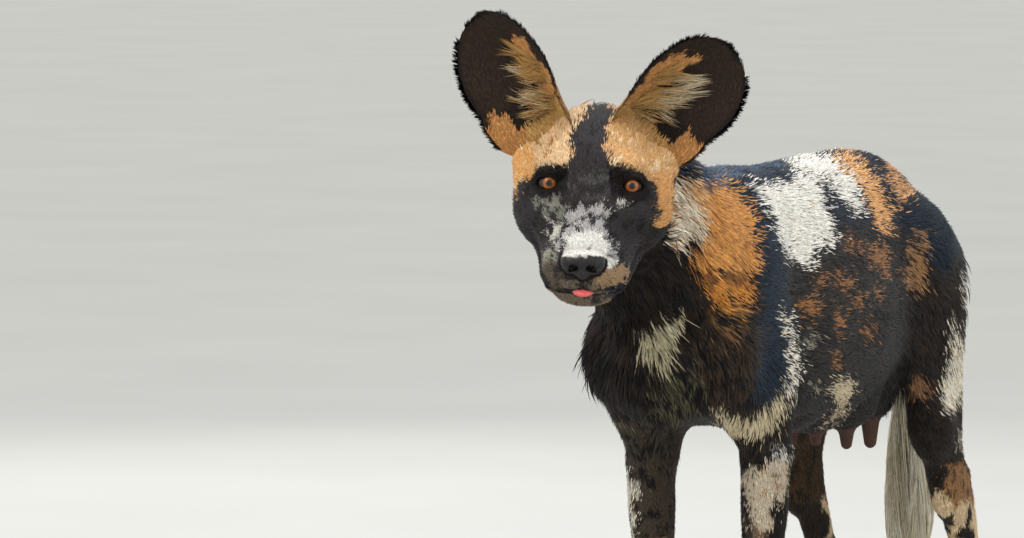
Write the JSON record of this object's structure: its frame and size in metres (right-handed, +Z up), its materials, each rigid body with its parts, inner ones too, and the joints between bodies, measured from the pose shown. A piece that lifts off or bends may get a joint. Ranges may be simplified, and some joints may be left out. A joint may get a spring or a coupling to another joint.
{
  "type": "african wild dog",
  "caption": "Life-size standing african wild dog, a nursing female with its head turned to its left, rounded cupped ears, blotched short coat and white tail brush.",
  "frame": {"origin": "on the floor, midway between the outermost left and right, front and back of the animal", "axes": "+Z up, the dog faces -Y, +X is the dog's own left side"},
  "size_m": [0.274, 1.0224, 0.8192],
  "materials": {
    "coat": "short matte coat in blotches of black, tan and white",
    "white_brush": "long soft white hair",
    "ear": "short dark hair, tan long hair inside",
    "eye": "wet amber brown",
    "nose": "moist black leather",
    "tongue": "wet pink",
    "claw": "dark worn horn"
  },
  "bodies": {
    "root": {"head": "coat", "neck": "coat", "chest": "coat", "belly": "coat", "hips": "coat", "tail_root": "coat", "tail_brush": "white_brush", "ear_left": "ear", "eye_left": "eye", "shoulder_left": "coat", "forearm_left": "coat", "thigh_left": "coat", "gaskin_left": "coat", "fore_paw_left": "coat", "fore_claw_left_1": "claw", "fore_claw_left_2": "claw", "fore_claw_left_3": "claw", "fore_claw_left_4": "claw", "hind_paw_left": "coat", "hind_claw_left_1": "claw", "hind_claw_left_2": "claw", "hind_claw_left_3": "claw", "hind_claw_left_4": "claw", "ear_right": "ear", "eye_right": "eye", "shoulder_right": "coat", "forearm_right": "coat", "thigh_right": "coat", "gaskin_right": "coat", "fore_paw_right": "coat", "fore_claw_right_1": "claw", "fore_claw_right_2": "claw", "fore_claw_right_3": "claw", "fore_claw_right_4": "claw", "hind_paw_right": "coat", "hind_claw_right_1": "claw", "hind_claw_right_2": "claw", "hind_claw_right_3": "claw", "hind_claw_right_4": "claw", "nose": "nose", "tongue": "tongue"}
  },
  "joints": []
}
